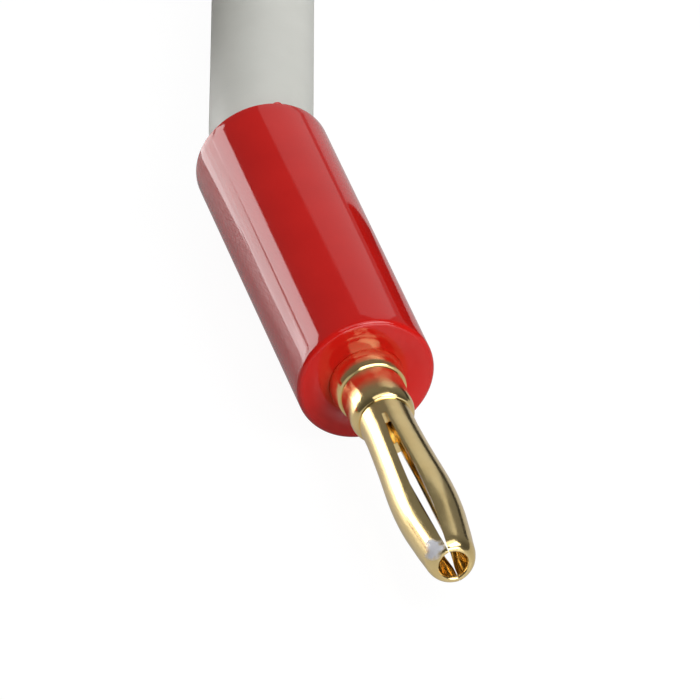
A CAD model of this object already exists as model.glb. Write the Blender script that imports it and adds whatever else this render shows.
# %% [markdown]
# # A banana plug on its lead
#
# The plug is a red moulded sleeve pressed on a turned, gold-plated pin. The pin's front is sawn into
# two tines that bow out, so that it springs into a 4 mm socket. A grey lead comes out of the back of
# the sleeve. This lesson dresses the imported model: first the camera and the lead, then the pieces of
# the plug, then the finishes and the studio. The scene is in metres. The sizes of the turned pieces are
# named in millimetres, without MM, and are multiplied by it where the pieces are made.

# %% Setting up
import math

import bmesh
import bpy
from mathutils import Matrix, Vector


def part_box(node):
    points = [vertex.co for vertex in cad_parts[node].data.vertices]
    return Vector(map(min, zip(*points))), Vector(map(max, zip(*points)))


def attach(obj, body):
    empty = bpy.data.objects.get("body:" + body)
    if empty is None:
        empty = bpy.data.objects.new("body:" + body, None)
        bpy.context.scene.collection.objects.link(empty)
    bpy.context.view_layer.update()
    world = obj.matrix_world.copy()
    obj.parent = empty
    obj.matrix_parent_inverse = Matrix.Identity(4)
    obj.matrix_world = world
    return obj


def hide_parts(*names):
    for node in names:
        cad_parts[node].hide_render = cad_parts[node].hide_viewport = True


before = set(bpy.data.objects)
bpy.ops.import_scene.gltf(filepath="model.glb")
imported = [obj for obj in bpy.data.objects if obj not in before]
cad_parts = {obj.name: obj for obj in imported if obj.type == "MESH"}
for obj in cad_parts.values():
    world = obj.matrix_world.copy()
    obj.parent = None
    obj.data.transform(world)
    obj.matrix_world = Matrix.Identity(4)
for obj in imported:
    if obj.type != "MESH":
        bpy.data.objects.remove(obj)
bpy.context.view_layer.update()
MM = 0.001
UP = Vector((0, 0, 1))

sleeve_low, sleeve_high = (Vector(corner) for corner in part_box("sleeve"))
pin_low, pin_high = (Vector(corner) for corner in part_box("pin"))
sleeve_radius = 4.6
sleeve_length = 25.8
sleeve_facets = 48
face_y = sleeve_low.y
back_y = sleeve_high.y
axis_height = sleeve_radius * math.cos(math.pi / sleeve_facets) * MM
print("sleeve from", round(face_y / MM, 3), "to", round(back_y / MM, 3), "mm, axis at",
      round(axis_height / MM, 3), "mm")
print("pin from", round(pin_low.y / MM, 3), "to", round(pin_high.y / MM, 3), "mm")

# %% [markdown]
# ## The camera
#
# The photo is a steep view down on the plug from in front and a little to one side. A long lens far
# away keeps the sleeve's sides almost parallel. The camera is placed by the directions it looks in and
# by how far it is from the middle of the sleeve's front face, which also works if the plug moves.

# %% Camera
view_pitch = math.radians(35.99)
view_turn = math.radians(-15.52)
view_distance = 639.5 * MM
face_right = 1.069 * MM
face_up = -1.982 * MM
sensor_width = 36.0
lens_length = 510.2

forward = Vector((-math.sin(view_turn) * math.cos(view_pitch), math.cos(view_turn) * math.cos(view_pitch),
                  -math.sin(view_pitch)))
right = forward.cross(UP).normalized()
upward = right.cross(forward)
face_centre = Vector((0, face_y, axis_height))

camera_data = bpy.data.cameras.new("camera")
camera_data.sensor_width = sensor_width
camera_data.lens = lens_length
camera_data.clip_start = 0.01
camera_data.clip_end = 10.0
camera = bpy.data.objects.new("camera", camera_data)
camera.location = face_centre - forward * view_distance - right * face_right - upward * face_up
camera.rotation_euler = forward.to_track_quat("-Z", "Y").to_euler()
bpy.context.scene.collection.objects.link(camera)
bpy.context.scene.camera = camera
print("camera at", [round(value, 4) for value in camera.location])

# %% [markdown]
# ## Where the lead goes
#
# A lead is a fixed length of something that bends, so its route is one curve from the first plug to the
# second. It turns as it leaves the sleeve, lies straight on the table, goes twice and a half round in a
# coil, and runs out to the second plug. The two lying stretches are points chosen by hand. The coil is
# worked out, because each turn has to stay one diameter away from its neighbours. The first turn is the
# outer one. The second moves inside it, and the last half turn climbs on top of the two.

# %% The lead's route
lead_radius = 3.5 * MM
lead_turn = math.radians(15.5)
coil_outer = 41.5 * MM
coil_inner = 34.46 * MM
coil_top = (coil_outer + coil_inner) / 2
coil_distance = 64.5 * MM
tail_offset = 38.0 * MM
tail_length = 62.0 * MM
bore_shift = 0.14
bend_shift = 0.935
bend_end = 3.76
strand_gap = 7.04 * MM
strap_thickness = 0.8 * MM
strap_angle = 90.0
under_lead = strap_thickness + 0.05 * MM
climb_from = 112.0
cross_from = 62.0
floor_height = lead_radius + 0.08 * MM

along = Vector((math.sin(lead_turn), math.cos(lead_turn), 0))
aside = Vector((-along.y, along.x, 0))
line_offset = (math.tan(lead_turn) * bend_end - bend_shift) * MM
coil_centre = Vector((-line_offset, back_y, 0)) + along * coil_distance + aside * coil_outer
tail_leaves = coil_centre - Vector((tail_offset, 0, 0))
far_face = tail_leaves - Vector((0, tail_length + sleeve_length * MM, 0))


def lead_stretch():
    """Points from inside the sleeve to the coil: across, behind the sleeve's back, and below its axis."""
    slope = math.tan(lead_turn)
    points = [(0.0, -12.0, 0.0), (-0.1, -9.6, 0.0), (-bore_shift, -4.0, 0.0)]
    for place, drop in ((-2.0, 0.0), (0.0, 0.0), (2.0, -0.05), (4.0, -0.12)):
        points.append(((place + 4.0) ** 2 / 56.0 - bore_shift, place, drop))
    for place, drop in ((6.0, -0.25), (9.0, -0.5), (13.0, -0.8), (18.0, -0.96), (26.0, -0.99),
                        (32.0, -1.0), (38.2, -1.01), (48.0, -1.01), (57.0, -1.01)):
        points.append((bend_shift + slope * (place - bend_end), place, drop))
    return [Vector((x, y, z)) * MM + Vector((0, back_y, axis_height)) for x, y, z in points]


def smooth(value, start, end):
    """0 before start, 1 after end, and a soft step between them."""
    t = min(max((value - start) / (end - start), 0.0), 1.0)
    return t * t * (3 - 2 * t)


def coil_point(angle):
    """Radius and height of the lead's middle after it has gone this far round the coil, in degrees."""
    before_lap = 360.0 - angle % 360.0
    first = coil_outer - (coil_outer - coil_inner) * smooth(-before_lap, -cross_from, 0.0)
    over_strap = under_lead * (1 - smooth(abs(angle % 360.0 - strap_angle), 8.0, 34.0))
    base = floor_height + over_strap
    if angle < 360.0:
        return first, base
    if angle < 720.0 - climb_from:
        return coil_inner, base
    if angle < 720.0:
        climb = math.radians(60.0) * smooth(-before_lap, -climb_from, -cross_from)
        radius = coil_outer - strand_gap * math.cos(climb)
        if before_lap > cross_from:
            return radius, base + strand_gap * math.sin(climb)
        return coil_top, base + math.sqrt(strand_gap ** 2 - (first - coil_top) ** 2)
    return coil_top, base + math.sqrt(strand_gap ** 2 - (coil_outer - coil_top) ** 2)


def coil_stretch():
    """Points two and a half times round the coil."""
    points = []
    for step in range(61):
        angle = 15.0 * step + 7.5
        radius, height = coil_point(angle)
        turn = math.radians(angle)
        flat = coil_centre + radius * (along * math.sin(turn) - aside * math.cos(turn))
        points.append(Vector((flat.x, flat.y, height)))
    return points


def tail_stretch():
    """Points from the coil's left side to inside the second plug."""
    run = ((3.0, 9.75), (9.0, 10.25), (16.5, 10.62), (22.0, 10.55), (27.0, 10.2), (32.0, 9.2), (37.0, 7.9),
           (42.0, 6.6), (48.0, 5.4), (54.0, 4.8), (60.0, 4.59), (64.0, 4.59), (74.0, 4.59))
    return [Vector((tail_leaves.x, tail_leaves.y - walked * MM, height * MM)) for walked, height in run]


route = lead_stretch() + coil_stretch() + tail_stretch()
print("route has", len(route), "points")

# %% [markdown]
# ## The lead
#
# The lead is a curve with a round bevel, the plainest way to make a cable: the curve is its middle line
# and the bevel is its jacket. The curve's own handles make it smooth between the points. The thickness
# is given at the points, with a bevel of 1, so that the curve's own bounding box is right as well.

# %% The lead's curve
lead_curve = bpy.data.curves.new("lead", "CURVE")
lead_curve.dimensions = "3D"
lead_curve.resolution_u = 6
lead_curve.render_resolution_u = 6
lead_curve.bevel_depth = 1.0
lead_curve.bevel_resolution = 8
lead_curve.use_fill_caps = True
spline = lead_curve.splines.new("BEZIER")
spline.bezier_points.add(len(route) - 1)
for knot, point in zip(spline.bezier_points, route):
    knot.co = point
    knot.radius = lead_radius
    knot.handle_left_type = "AUTO"
    knot.handle_right_type = "AUTO"
lead = bpy.data.objects.new("lead", lead_curve)
bpy.context.scene.collection.objects.link(lead)
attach(lead, "root")
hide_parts("cable_lead", "cable_coil", "cable_tail")
print("lead drawn")

# %% [markdown]
# ## Helpers for turned pieces
#
# The sleeve and the pin are both round about their own axis. Each is drawn as half an outline and
# spun. Outline points are pairs: the distance from the axis, and the place along it, counted from the
# sleeve's front face and positive towards the pin's tip, in millimetres.


# %% Turned pieces
def arc(centre, radius, start, end, steps):
    """Points on an arc of an outline, angles in degrees."""
    points = []
    for step in range(steps + 1):
        angle = math.radians(start + (end - start) * step / steps)
        points.append((centre[0] + radius * math.cos(angle), centre[1] + radius * math.sin(angle)))
    return points


def turned(outline, segments, closed):
    """Spin an outline round the plug's axis and return the bmesh, with its axis along Y."""
    shape = bmesh.new()
    points = [shape.verts.new((0, -place * MM, radius * MM)) for radius, place in outline]
    edges = [shape.edges.new(pair) for pair in zip(points, points[1:])]
    if closed:
        edges.append(shape.edges.new((points[-1], points[0])))
    bmesh.ops.spin(shape, geom=points + edges, cent=(0, 0, 0), axis=(0, 1, 0), angle=2 * math.pi,
                   steps=segments, use_merge=True)
    bmesh.ops.remove_doubles(shape, verts=shape.verts, dist=1e-7)
    bmesh.ops.recalc_face_normals(shape, faces=shape.faces)
    return shape


def as_object(name, shape, place, sharp=35.0):
    """Turn a bmesh into an object at the origin, with its place in its mesh."""
    mesh = bpy.data.meshes.new(name)
    shape.to_mesh(mesh)
    shape.free()
    mesh.transform(place)
    mesh.shade_smooth()
    mesh.set_sharp_from_angle(angle=math.radians(sharp))
    piece = bpy.data.objects.new(name, mesh)
    bpy.context.scene.collection.objects.link(piece)
    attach(piece, "root")
    return piece


near_plug = Matrix.Translation((0, face_y, axis_height))
far_plug = Matrix.Translation((far_face.x, far_face.y, axis_height))
print("second plug's face at", [round(value / MM, 2) for value in far_face])

# %% [markdown]
# ## The sleeve
#
# The sleeve is a plain moulded tube. What makes it look moulded is small: the rounded front edge, a
# thin double line where the two halves of the mould met, and the stub left on the back rim where the
# plastic came in. The line is two low ridges raised from the surface along part of the sleeve.

# %% Sleeve
front_wall = 4.5
pin_hole_radius = 2.15
seat_radius = 2.51
seat_depth = 0.1
front_round = 0.35
back_round = 0.2
chamber_radius = 3.0
chamber_end = 13.5
lead_bore_radius = 4.0
parting_angle = 61.0
parting_reach = 14.0
parting_fade = 3.0
ridge_height = 0.012
ridge_offset = 2.2
ridge_width = 0.75
gate_angle = -14.0
gate_size = 0.32


def sleeve_outline():
    """Half section of the sleeve with its bores, as a closed loop."""
    outline = [(pin_hole_radius, -front_wall), (pin_hole_radius, -seat_depth), (seat_radius, -seat_depth),
               (seat_radius, -0.01), (seat_radius + 0.01, 0.0)]
    outline += arc((sleeve_radius - front_round, -front_round), front_round, 90, 0, 6)
    body_length = sleeve_length - front_round - back_round
    body_steps = 40
    for step in range(1, body_steps):
        outline.append((sleeve_radius, -front_round - body_length * step / body_steps))
    outline += arc((sleeve_radius - back_round, back_round - sleeve_length), back_round, 0, -90, 4)
    outline += [(lead_bore_radius + 0.2, -sleeve_length), (lead_bore_radius, 0.2 - sleeve_length),
                (lead_bore_radius, -chamber_end), (chamber_radius, -chamber_end),
                (chamber_radius, -front_wall)]
    return outline


def raise_parting_line(shape):
    """Two low ridges, side by side, that fade out towards the front."""
    for vert in shape.verts:
        radius = math.hypot(vert.co.x, vert.co.z)
        if radius < (sleeve_radius - 0.05) * MM:
            continue
        angle = math.degrees(math.atan2(-vert.co.x, vert.co.z)) - parting_angle
        place = vert.co.y / MM
        line_start = sleeve_length - parting_reach
        fade = smooth(place, line_start - parting_fade, line_start + parting_fade)
        height = sum(math.exp(-((angle - offset) / ridge_width) ** 2)
                     for offset in (-ridge_offset, ridge_offset))
        lift = 1 + ridge_height * MM * height * fade / radius
        vert.co.x *= lift
        vert.co.z *= lift


def add_gate_mark(shape):
    """The small broken-off stub where the plastic was fed into the mould."""
    turn = math.radians(gate_angle)
    from_axis = (sleeve_radius - 0.3) * MM
    spot = Vector((-from_axis * math.sin(turn), (sleeve_length + 0.02) * MM, from_axis * math.cos(turn)))
    stub = bmesh.ops.create_uvsphere(shape, u_segments=16, v_segments=10, radius=gate_size * MM)
    bmesh.ops.scale(shape, vec=(1.2, 0.45, 0.9), verts=stub["verts"])
    bmesh.ops.rotate(shape, cent=(0, 0, 0), matrix=Matrix.Rotation(-turn, 3, "Y"), verts=stub["verts"])
    bmesh.ops.translate(shape, vec=spot, verts=stub["verts"])


def make_sleeve(name, node, place):
    """A whole sleeve in place, which takes over from its solid."""
    shape = turned(sleeve_outline(), 240, closed=True)
    raise_parting_line(shape)
    add_gate_mark(shape)
    sleeve = as_object(name, shape, place, sharp=50.0)
    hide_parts(node)
    return sleeve


sleeve_near = make_sleeve("sleeve_near", "sleeve", near_plug)
sleeve_second = make_sleeve("sleeve_second", "sleeve_far", far_plug)
print("sleeves have", len(sleeve_near.data.polygons), "faces each")

# %% [markdown]
# ## The contact pin
#
# The pin is turned from brass rod: a flange, a plain rounded shoulder and a shaft that is a little fuller
# in the middle, with a bore up it from the tip. A saw cut through the axis then splits the front into two
# tines, and a tool spreads them, so that they bow out and close again at the tip. The model follows the
# same order, because a bowed tine is hard to draw directly and easy to bend once it is turned and sawn.
#
# Behind the sleeve's face the pin has a straight knurl that holds it in the front wall, and a barrel with
# a solder cup for the lead's core. The cup opens to the back, and its rear part is cut away on top.

# %% Pin
flange_radius = 2.5
shoulder_radius = 2.13
shoulder_end = 3.62
shoulder_round = 0.82
shaft_radius = 1.765
pin_reach = 20.4
tip_length = 0.9
mouth_radius = 1.15
bore_radius = 0.95
bore_start = 3.6
bore_cone = 0.6
belly_rise = 0.125
belly_place = 13.8
belly_reach = 2.8
most_spread = 0.275
tip_gap = 0.04
knurl_radius = 2.1
knurl_depth = 0.16
knurl_end = 3.9
barrel_radius = 1.75
barrel_end = 12.5
cup_radius = 1.25
cup_floor = 6.5
cup_cut_start = 8.5
cup_cut_height = 0.45
slot_width = 0.32
slot_root = 5.85
pin_turn = math.radians(-16.5)


def lesser(first, second):
    """The smaller of two values, with a soft change from one to the other."""
    return (first + second - math.hypot(first - second, 0.06)) / 2


def tine_spread(place, side_up):
    """How far a tine is bent out of its sawn place, in millimetres. Its lower edge closes sooner."""
    run = place - slot_root
    if run <= 0:
        return 0.0
    rising = 0.052 * run * run / (run + 0.8)
    falling = 0.088 * (19.0 - place)
    pinch = 0.05 * smooth(place, 17.8, 19.6) * (1 - side_up / shaft_radius)
    return max(lesser(lesser(rising, most_spread), falling) - pinch, (tip_gap - slot_width) / 2)


def belly(place):
    """How much fuller the turned pin is at this place."""
    return belly_rise * math.exp(-((place - belly_place) / belly_reach) ** 2)


def rounded_end(wide, narrow, start, length, steps):
    """Points where a round part draws in from one radius to another, on a quarter of an ellipse."""
    points = []
    for step in range(steps + 1):
        angle = math.pi / 2 * step / steps
        points.append((narrow + (wide - narrow) * math.cos(angle), start + length * math.sin(angle)))
    return points


def pin_outline():
    """Half section of the pin, from the floor of its solder cup to the end of the bore in its tip."""
    tine_end = pin_reach - tip_length
    places = [slot_root + (tine_end - slot_root) * step / 44 for step in range(1, 44)]
    outline = [(0.0, -cup_floor), (cup_radius, -cup_floor), (cup_radius, -barrel_end),
               (barrel_radius - 0.2, -barrel_end), (barrel_radius, 0.2 - barrel_end),
               (barrel_radius, -knurl_end), (knurl_radius, -knurl_end), (knurl_radius, -seat_depth),
               (flange_radius, -seat_depth), (flange_radius, 0.25), (flange_radius, 0.5),
               (2.49, 0.62), (2.46, 0.75), (2.42, 0.95), (2.36, 1.2), (2.3, 1.38), (2.22, 1.42),
               (2.15, 1.44), (shoulder_radius, 1.5), (shoulder_radius, 2.2), (shoulder_radius, 3.0)]
    outline += rounded_end(shoulder_radius, shaft_radius + 0.02, shoulder_end, shoulder_round, 12)
    outline += [(shaft_radius, shoulder_end + shoulder_round + 0.02), (shaft_radius, 5.2),
                (shaft_radius, slot_root)]
    outline += [(shaft_radius + belly(place), place) for place in places]
    outline += rounded_end(shaft_radius, mouth_radius, tine_end, tip_length, 12)
    outline += [(mouth_radius - 0.04, pin_reach - 0.04), (mouth_radius - 0.09, pin_reach - 0.14),
                (mouth_radius - 0.12, pin_reach - 0.3), (mouth_radius - 0.14, pin_reach - 0.55)]
    outline += [(bore_radius, tine_end)]
    outline += [(bore_radius, place) for place in reversed(places)]
    outline += [(bore_radius, slot_root), (bore_radius, bore_start), (0.0, bore_start - bore_cone)]
    return outline


def cut_away(piece, low, high):
    """Subtract a box, given by two corners in millimetres, from a piece that still lies on its own axis."""
    tool = bmesh.new()
    bmesh.ops.create_cube(tool, size=1.0)
    size = Vector(high) - Vector(low)
    bmesh.ops.scale(tool, vec=size * MM, verts=tool.verts)
    bmesh.ops.translate(tool, vec=(Vector(high) + Vector(low)) / 2 * MM, verts=tool.verts)
    mesh = bpy.data.meshes.new("saw")
    tool.to_mesh(mesh)
    tool.free()
    saw = bpy.data.objects.new("saw", mesh)
    bpy.context.scene.collection.objects.link(saw)
    step = piece.modifiers.new("cut", "BOOLEAN")
    step.operation = "DIFFERENCE"
    step.solver = "EXACT"
    step.object = saw
    view = bpy.context.evaluated_depsgraph_get()
    sawn = bpy.data.meshes.new_from_object(piece.evaluated_get(view))
    piece.modifiers.clear()
    piece.data = sawn
    bpy.data.objects.remove(saw, do_unlink=True)


def press_knurl(shape):
    """Every fourth line of points round the knurl becomes a groove."""
    for vert in shape.verts:
        radius = math.hypot(vert.co.x, vert.co.z)
        on_knurl = abs(radius - knurl_radius * MM) < 1e-6 and vert.co.y > 0
        step = round(math.atan2(vert.co.x, vert.co.z) / math.radians(3.0))
        if on_knurl and step % 4 == 2:
            vert.co.x *= 1 - knurl_depth / knurl_radius
            vert.co.z *= 1 - knurl_depth / knurl_radius


def make_pin(name, node, place):
    """A whole pin in place: turned, knurled, its cup opened, sawn, and its tines bent."""
    shape = turned(pin_outline(), 120, closed=False)
    press_knurl(shape)
    pin = as_object(name, shape, Matrix.Identity(4))
    cut_away(pin, (-5.0, cup_cut_start, cup_cut_height), (5.0, 20.0, 5.0))
    cut_away(pin, (-slot_width / 2, -30.0, -5.0), (slot_width / 2, -slot_root, 5.0))
    for vert in pin.data.vertices:
        side = 1.0 if vert.co.x > 0 else -1.0
        vert.co.x += side * tine_spread(-vert.co.y / MM, vert.co.z / MM) * MM
    pin.data.transform(place @ Matrix.Rotation(pin_turn, 4, "Y"))
    pin.data.shade_smooth()
    pin.data.set_sharp_from_angle(angle=math.radians(35))
    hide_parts(node)
    return pin


pin_near = make_pin("pin_near", "pin", near_plug)
pin_second = make_pin("pin_second", "pin_far", far_plug)
print("pins have", len(pin_near.data.polygons), "faces each")

# %% [markdown]
# ## The strap
#
# A hook-and-loop strap holds the coil. It wraps the three strands that lie there, so its inside is the
# outline of three round cables, and it is spun through a few degrees of the coil to give it width.

# %% Strap
strap_clearance = 0.04 * MM
webbing = strap_thickness - 0.06 * MM
strap_half_width = math.radians(6.5)


def strap_section(offset):
    """Outline round the three strands, this far from their middles, as radius and height."""
    low = floor_height + under_lead
    high = low + math.sqrt(strand_gap ** 2 - (coil_outer - coil_top) ** 2)
    section = arc((coil_outer, low), offset, -90, 25, 10)
    section += arc((coil_top, high), offset, 25, 155, 12)
    section += arc((coil_inner, low), offset, 155, 270, 10)
    return section


def make_strap():
    """The strap as a closed ring of fabric, a few degrees of the coil wide."""
    shape = bmesh.new()
    inner = strap_section(lead_radius + strap_clearance)
    outer = strap_section(lead_radius + strap_clearance + webbing)
    start = along.copy()
    start.rotate(Matrix.Rotation(-strap_half_width, 3, "Z"))
    loops = []
    for ring in (outer, inner):
        loops.append([shape.verts.new(coil_centre + start * r + UP * z) for r, z in ring])
    count = len(inner)
    first = []
    for i in range(count):
        after = (i + 1) % count
        first.append(shape.faces.new((loops[0][i], loops[0][after], loops[1][after], loops[1][i])))
    bmesh.ops.spin(shape, geom=first, cent=coil_centre, axis=UP, angle=2 * strap_half_width, steps=8,
                   use_duplicate=False)
    bmesh.ops.remove_doubles(shape, verts=shape.verts, dist=1e-7)
    bmesh.ops.recalc_face_normals(shape, faces=shape.faces)
    strap = as_object("strap", shape, Matrix.Identity(4))
    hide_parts("coil_tie")
    return strap


strap = make_strap()
print("strap made, lead declared")

# %% [markdown]
# ## Finishes
#
# Each finish is a Principled shader with a little variation in it. Glossy plastic is never one flat
# red, and plating shows faint turning marks, so noise is mixed into colour, roughness and height. The
# noise that more than one finish needs is built once, as two node groups, and used by name.


# %% Shared effects
def new_group(name, inputs, output, kind):
    """An empty node group with float inputs (name, value), a place input and one output."""
    tree = bpy.data.node_groups.new(name, "ShaderNodeTree")
    tree.interface.new_socket(name="Place", in_out="INPUT", socket_type="NodeSocketVector")
    for label, value in inputs:
        socket = tree.interface.new_socket(name=label, in_out="INPUT", socket_type="NodeSocketFloat")
        socket.default_value = value
    tree.interface.new_socket(name=output, in_out="OUTPUT", socket_type=kind)
    return tree, tree.nodes.new("NodeGroupInput"), tree.nodes.new("NodeGroupOutput")


def mottle_group():
    """Cloudy noise that runs from Low to High, for colours and roughness."""
    tree, given, result = new_group("mottle", (("Scale", 200.0), ("Low", 0.0), ("High", 1.0)), "Amount",
                                    "NodeSocketFloat")
    texture = tree.nodes.new("ShaderNodeTexNoise")
    texture.inputs["Detail"].default_value = 4.0
    tree.links.new(given.outputs["Place"], texture.inputs["Vector"])
    tree.links.new(given.outputs["Scale"], texture.inputs["Scale"])
    ramp = tree.nodes.new("ShaderNodeMapRange")
    ramp.inputs["From Min"].default_value = 0.3
    ramp.inputs["From Max"].default_value = 0.7
    tree.links.new(texture.outputs["Fac"], ramp.inputs["Value"])
    tree.links.new(given.outputs["Low"], ramp.inputs["To Min"])
    tree.links.new(given.outputs["High"], ramp.inputs["To Max"])
    tree.links.new(ramp.outputs["Result"], result.inputs["Amount"])
    return tree


def grain_group():
    """A normal that is rippled by fine noise, for surfaces that aren't perfectly even."""
    tree, given, result = new_group("grain", (("Scale", 1000.0), ("Strength", 0.1), ("Depth", 0.00005)),
                                    "Normal", "NodeSocketVector")
    texture = tree.nodes.new("ShaderNodeTexNoise")
    texture.inputs["Detail"].default_value = 3.0
    tree.links.new(given.outputs["Place"], texture.inputs["Vector"])
    tree.links.new(given.outputs["Scale"], texture.inputs["Scale"])
    bump = tree.nodes.new("ShaderNodeBump")
    tree.links.new(texture.outputs["Fac"], bump.inputs["Height"])
    tree.links.new(given.outputs["Strength"], bump.inputs["Strength"])
    tree.links.new(given.outputs["Depth"], bump.inputs["Distance"])
    tree.links.new(bump.outputs["Normal"], result.inputs["Normal"])
    return tree


mottle = mottle_group()
grain = grain_group()


def new_material(name):
    """A material, its tree, its shader and the piece's own coordinates."""
    made = bpy.data.materials.new(name)
    made.use_nodes = True
    tree = made.node_tree
    place = tree.nodes.new("ShaderNodeTexCoord").outputs["Object"]
    return made, tree, tree.nodes["Principled BSDF"], place


def use_group(tree, group, place, **settings):
    """Put a group into a tree, set its inputs and return its output."""
    node = tree.nodes.new("ShaderNodeGroup")
    node.node_tree = group
    tree.links.new(place, node.inputs["Place"])
    for label, value in settings.items():
        node.inputs[label].default_value = value
    return node.outputs[0]


def mixed(tree, factor, first, second):
    """A colour between two others."""
    mix = tree.nodes.new("ShaderNodeMix")
    mix.data_type = "RGBA"
    mix.inputs["A"].default_value = (*first, 1)
    mix.inputs["B"].default_value = (*second, 1)
    tree.links.new(factor, mix.inputs["Factor"])
    return mix.outputs["Result"]


print("groups:", mottle.name, grain.name)

# %% [markdown]
# ### Red plastic
#
# The sleeve comes from a polished mould, so it is glossy enough to show the lights with sharp edges.
# The colour varies only a little, and a very shallow ripple bends the reflections as sink marks do.


# %% Red plastic
def red_plastic():
    """Glossy moulded plastic for the sleeves."""
    made, tree, shader, place = new_material("red_plastic")
    cloud = use_group(tree, mottle, place, Scale=220.0)
    colour = mixed(tree, cloud, (0.66, 0.008, 0.005), (0.72, 0.011, 0.007))
    polish = use_group(tree, mottle, place, Scale=900.0, Low=0.05, High=0.09)
    tree.links.new(colour, shader.inputs["Base Color"])
    tree.links.new(polish, shader.inputs["Roughness"])
    tree.links.new(use_group(tree, grain, place, Scale=420.0, Strength=0.05, Depth=0.00003),
                   shader.inputs["Normal"])
    shader.inputs["IOR"].default_value = 1.5
    return made


# %% [markdown]
# ### Gold plating
#
# Thin gold over turned brass. The fine rings that the lathe leaves spread each reflection along the pin,
# so the shader's roughness is anisotropic, with a tangent that runs round the axis. Near the tip the left
# tine's plating has worn to a pale, dull patch. It is a ragged region round one point of the pin, and it
# changes the colour, the roughness and how metallic the surface is.


# %% Gold plating
patch_radius = 0.9 * MM
patch_soft = 0.18 * MM
patch_ragged = 0.6 * MM
worn_colour = (0.90, 0.90, 0.95, 1)
worn_roughness = 0.55
worn_metal = 0.3


def gold_plating(worn_at):
    """Plated brass, with its worn patch round the point given."""
    made, tree, shader, place = new_material("gold_plating")
    cloud = use_group(tree, mottle, place, Scale=700.0)
    clean = mixed(tree, cloud, (0.94, 0.71, 0.32), (0.99, 0.77, 0.37))
    reach = tree.nodes.new("ShaderNodeVectorMath")
    reach.operation = "DISTANCE"
    reach.inputs[1].default_value = worn_at
    tree.links.new(place, reach.inputs[0])
    ragged = tree.nodes.new("ShaderNodeMath")
    ragged.operation = "MULTIPLY_ADD"
    ragged.inputs[1].default_value = patch_ragged
    tree.links.new(use_group(tree, mottle, place, Scale=1400.0), ragged.inputs[0])
    tree.links.new(reach.outputs["Value"], ragged.inputs[2])
    edge = tree.nodes.new("ShaderNodeMapRange")
    edge.inputs["From Min"].default_value = patch_radius + patch_soft
    edge.inputs["From Max"].default_value = patch_radius - patch_soft
    tree.links.new(ragged.outputs["Value"], edge.inputs["Value"])
    worn = edge.outputs["Result"]
    colour = tree.nodes.new("ShaderNodeMix")
    colour.data_type = "RGBA"
    colour.inputs["B"].default_value = worn_colour
    tree.links.new(worn, colour.inputs["Factor"])
    tree.links.new(clean, colour.inputs["A"])
    tree.links.new(colour.outputs["Result"], shader.inputs["Base Color"])
    polish = tree.nodes.new("ShaderNodeMix")
    polish.inputs["B"].default_value = worn_roughness
    tree.links.new(worn, polish.inputs["Factor"])
    tree.links.new(use_group(tree, mottle, place, Scale=1500.0, Low=0.13, High=0.19), polish.inputs["A"])
    tree.links.new(polish.outputs["Result"], shader.inputs["Roughness"])
    tree.links.new(use_group(tree, grain, place, Scale=2500.0, Strength=0.06, Depth=0.00003),
                   shader.inputs["Normal"])
    metal = tree.nodes.new("ShaderNodeMix")
    metal.inputs["A"].default_value = 1.0
    metal.inputs["B"].default_value = worn_metal
    tree.links.new(worn, metal.inputs["Factor"])
    tree.links.new(metal.outputs["Result"], shader.inputs["Metallic"])
    rings = tree.nodes.new("ShaderNodeTangent")
    rings.direction_type = "RADIAL"
    rings.axis = "Y"
    tree.links.new(rings.outputs["Tangent"], shader.inputs["Tangent"])
    shader.inputs["Anisotropic"].default_value = 0.75
    shader.inputs["Anisotropic Rotation"].default_value = 0.25
    return made


# %% [markdown]
# ### Jacket, copper and strap
#
# The lead's jacket is matt soft plastic with a fine grain. The core is copper strand, and the strap is
# a dark woven loop fabric, rough enough to show no highlight.


# %% Jacket, copper and strap
def grey_jacket():
    """Matt soft plastic for the lead."""
    made, tree, shader, place = new_material("grey_jacket")
    cloud = use_group(tree, mottle, place, Scale=150.0)
    colour = mixed(tree, cloud, (0.76, 0.765, 0.71), (0.82, 0.825, 0.77))
    matt = use_group(tree, mottle, place, Scale=800.0, Low=0.42, High=0.55)
    tree.links.new(colour, shader.inputs["Base Color"])
    tree.links.new(matt, shader.inputs["Roughness"])
    tree.links.new(use_group(tree, grain, place, Scale=1800.0, Strength=0.12), shader.inputs["Normal"])
    return made


def copper_strands():
    """Bare strands: noise drawn out along the conductor."""
    made, tree, shader, place = new_material("copper_strands")
    along_lead = tree.nodes.new("ShaderNodeMapping")
    along_lead.inputs["Scale"].default_value = (1.0, 0.15, 1.0)
    tree.links.new(place, along_lead.inputs["Vector"])
    strands = along_lead.outputs["Vector"]
    shade = use_group(tree, mottle, strands, Scale=900.0)
    colour = mixed(tree, shade, (0.62, 0.28, 0.16), (0.85, 0.48, 0.32))
    tree.links.new(colour, shader.inputs["Base Color"])
    tree.links.new(use_group(tree, grain, strands, Scale=900.0, Strength=0.6, Depth=0.0001),
                   shader.inputs["Normal"])
    shader.inputs["Metallic"].default_value = 1.0
    shader.inputs["Roughness"].default_value = 0.35
    return made


def strap_fabric():
    """Dark loop fabric for the strap."""
    made, tree, shader, place = new_material("strap_fabric")
    loops = use_group(tree, mottle, place, Scale=2600.0)
    colour = mixed(tree, loops, (0.012, 0.012, 0.013), (0.05, 0.05, 0.052))
    tree.links.new(colour, shader.inputs["Base Color"])
    tree.links.new(use_group(tree, grain, place, Scale=2600.0, Strength=0.8, Depth=0.0003),
                   shader.inputs["Normal"])
    shader.inputs["Roughness"].default_value = 0.9
    return made


def dress(piece, material):
    """Give a piece one material in place of any it has."""
    piece.data.materials.clear()
    piece.data.materials.append(material)


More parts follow.
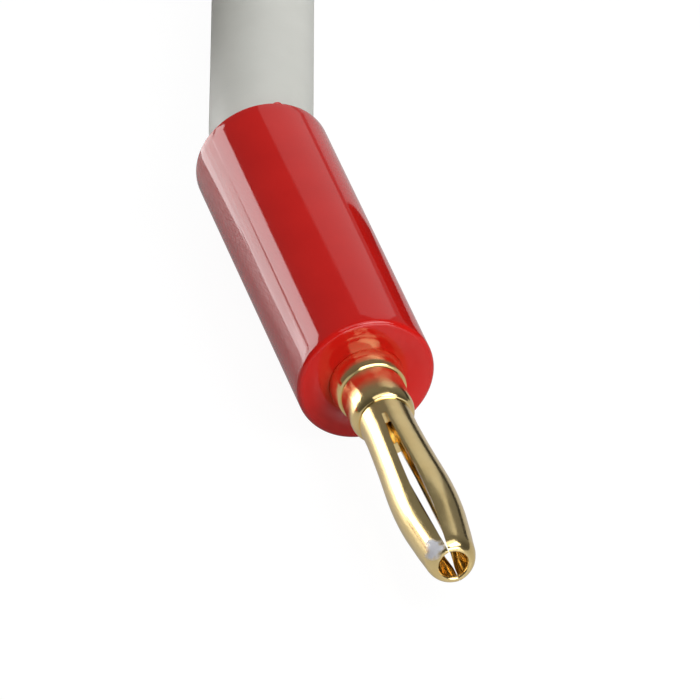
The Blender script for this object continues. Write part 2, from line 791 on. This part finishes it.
def on_pin(place, across, up):
    """World position of a point on the near pin: place along it, and offsets in millimetres."""
    return near_plug @ Vector((across * MM, -place * MM, up * MM))


red = red_plastic()
gold = gold_plating(on_pin(19.75, -1.05, 1.05))
jacket = grey_jacket()
copper = copper_strands()
for piece in (sleeve_near, sleeve_second):
    dress(piece, red)
for piece in (pin_near, pin_second):
    dress(piece, gold)
dress(lead, jacket)
dress(strap, strap_fabric())
for node in ("conductor", "conductor_far"):
    bpy.data.objects[node].material_slots[0].material = copper
print("finishes assigned")

# %% [markdown]
# ## The studio
#
# The plug lies on white paper under a dim room light. The paper mixes a plain glow, which the camera sees
# as white, with a semi-gloss surface that keeps a faint shadow. Reflections see less of the glow, so the
# plug's lower edges come out darker, as they do where a thing shades the paper it lies on.


# %% Floor and room
paper_glow = 1.125
camera_share = 0.85
glossy_share = 0.2


def floor():
    """White paper, which glows for the camera and a little for reflections."""
    made, tree, shader, _ = new_material("white_paper")
    output = tree.nodes["Material Output"]
    shader.inputs["Base Color"].default_value = (0.5, 0.5, 0.5, 1)
    shader.inputs["Roughness"].default_value = 0.25
    glow = tree.nodes.new("ShaderNodeEmission")
    glow.inputs["Strength"].default_value = paper_glow
    rays = tree.nodes.new("ShaderNodeLightPath")
    blend = tree.nodes.new("ShaderNodeMixShader")
    direct = tree.nodes.new("ShaderNodeMath")
    direct.operation = "MULTIPLY"
    direct.inputs[1].default_value = camera_share
    seen = tree.nodes.new("ShaderNodeMath")
    seen.operation = "MULTIPLY_ADD"
    seen.inputs[1].default_value = glossy_share
    tree.links.new(rays.outputs["Is Camera Ray"], direct.inputs[0])
    tree.links.new(rays.outputs["Is Glossy Ray"], seen.inputs[0])
    tree.links.new(direct.outputs["Value"], seen.inputs[2])
    tree.links.new(seen.outputs["Value"], blend.inputs["Fac"])
    tree.links.new(shader.outputs["BSDF"], blend.inputs[1])
    tree.links.new(glow.outputs["Emission"], blend.inputs[2])
    tree.links.new(blend.outputs["Shader"], output.inputs["Surface"])
    shape = bmesh.new()
    bmesh.ops.create_grid(shape, x_segments=1, y_segments=1, size=2.0)
    mesh = bpy.data.meshes.new("floor")
    shape.to_mesh(mesh)
    shape.free()
    paper = bpy.data.objects.new("floor", mesh)
    paper.data.materials.append(made)
    bpy.context.scene.collection.objects.link(paper)


def room():
    """A world that is dim in front of the plug, where the camera stands, and lighter behind it."""
    made = bpy.data.worlds.new("room")
    made.use_nodes = True
    tree = made.node_tree
    split = tree.nodes.new("ShaderNodeSeparateXYZ")
    tree.links.new(tree.nodes.new("ShaderNodeTexCoord").outputs["Generated"], split.inputs["Vector"])
    fade = tree.nodes.new("ShaderNodeMapRange")
    fade.interpolation_type = "SMOOTHSTEP"
    fade.inputs["From Min"].default_value = -0.2
    fade.inputs["From Max"].default_value = 0.7
    fade.inputs["To Min"].default_value = 0.08
    fade.inputs["To Max"].default_value = 0.17
    tree.links.new(split.outputs["Y"], fade.inputs["Value"])
    tree.links.new(fade.outputs["Result"], tree.nodes["Background"].inputs["Strength"])
    tree.nodes["Background"].inputs["Color"].default_value = (1, 1, 1, 1)
    bpy.context.scene.world = made


floor()
room()
print("paper and room set")

# %% [markdown]
# ### Lights
#
# What shows on a shiny thing is its surroundings, so each light is placed by where its reflection falls.
# A bright window behind and to the left makes the strip on the sleeve's left side, and a low card close by
# carries that strip on below the horizon. A weaker panel behind and to the right makes the soft band. The
# key light above and to the right of the camera makes the highlights on the shoulder and the tip. From
# this camera the long straight sides only mirror what is behind the plug, so the overhead panel and the
# front fill show just on the rounded parts of the pin. What they mainly do is give the colours their level.


# %% Lights
def softbox(name, aim, direction, distance, width, height, radiance):
    """An area light of even brightness, this far from the point it is aimed at."""
    data = bpy.data.lights.new(name, "AREA")
    data.shape = "RECTANGLE"
    data.size = width
    data.size_y = height
    data.energy = radiance * math.pi * width * height
    light = bpy.data.objects.new(name, data)
    toward = Vector(direction).normalized()
    light.location = Vector(aim) + toward * distance
    light.rotation_euler = toward.to_track_quat("Z", "Y").to_euler()
    bpy.context.scene.collection.objects.link(light)
    return light


middle = (0, 0, axis_height)
softbox("left_window", middle, (-0.626, 0.78, 0.02), 0.9, 0.40, 0.57, 4.0)
softbox("right_panel", middle, (0.384, 0.85, 0.36), 0.9, 0.46, 0.53, 0.42)
softbox("key", middle, (0.42, -0.55, 0.75), 0.9, 0.65, 0.42, 4.0)
softbox("overhead", middle, (0.1, -0.35, 0.93), 0.9, 1.0, 0.7, 1.3)
softbox("front_fill", middle, (0.25, -0.95, 0.22), 1.0, 0.7, 0.35, 3.5)
low_card = softbox("low_card", (0, -0.0012, 0.0044), (-0.61, 0.79, 0), 0.039, 0.040, 0.0087, 3.4)
low_card.visible_camera = False
low_card.visible_diffuse = False
print("lights placed")

# %% [markdown]
# ### A dark card
#
# The sleeve's right edge is a deep red with no pale reflection. A photographer gets that with a dark card
# beside the object. Here only reflections see it, so it neither shades the plug nor shows in a view.


# %% Dark card
card_ends = (Vector((12.5, 24.3, 0.1)) * MM, Vector((37.5, 4.5, 0.1)) * MM)
card_height = 8.0 * MM


def black_flag():
    """A low dark card close on the right, which only reflections show."""
    made, _, shader, _ = new_material("black_card")
    shader.inputs["Base Color"].default_value = (0.02, 0.02, 0.02, 1)
    shader.inputs["Roughness"].default_value = 0.9
    shape = bmesh.new()
    left, right_end = card_ends
    corners = [left, right_end, right_end + UP * card_height, left + UP * card_height]
    shape.faces.new([shape.verts.new(corner) for corner in corners])
    mesh = bpy.data.meshes.new("black_flag")
    shape.to_mesh(mesh)
    shape.free()
    flag = bpy.data.objects.new("black_flag", mesh)
    mesh.materials.append(made)
    bpy.context.scene.collection.objects.link(flag)
    flag.visible_camera = False
    flag.visible_diffuse = False
    flag.visible_shadow = False


black_flag()
print("studio lit")

# %% Hand over
bpy.context.scene.view_settings.view_transform = "Standard"
bpy.context.view_layer.update()
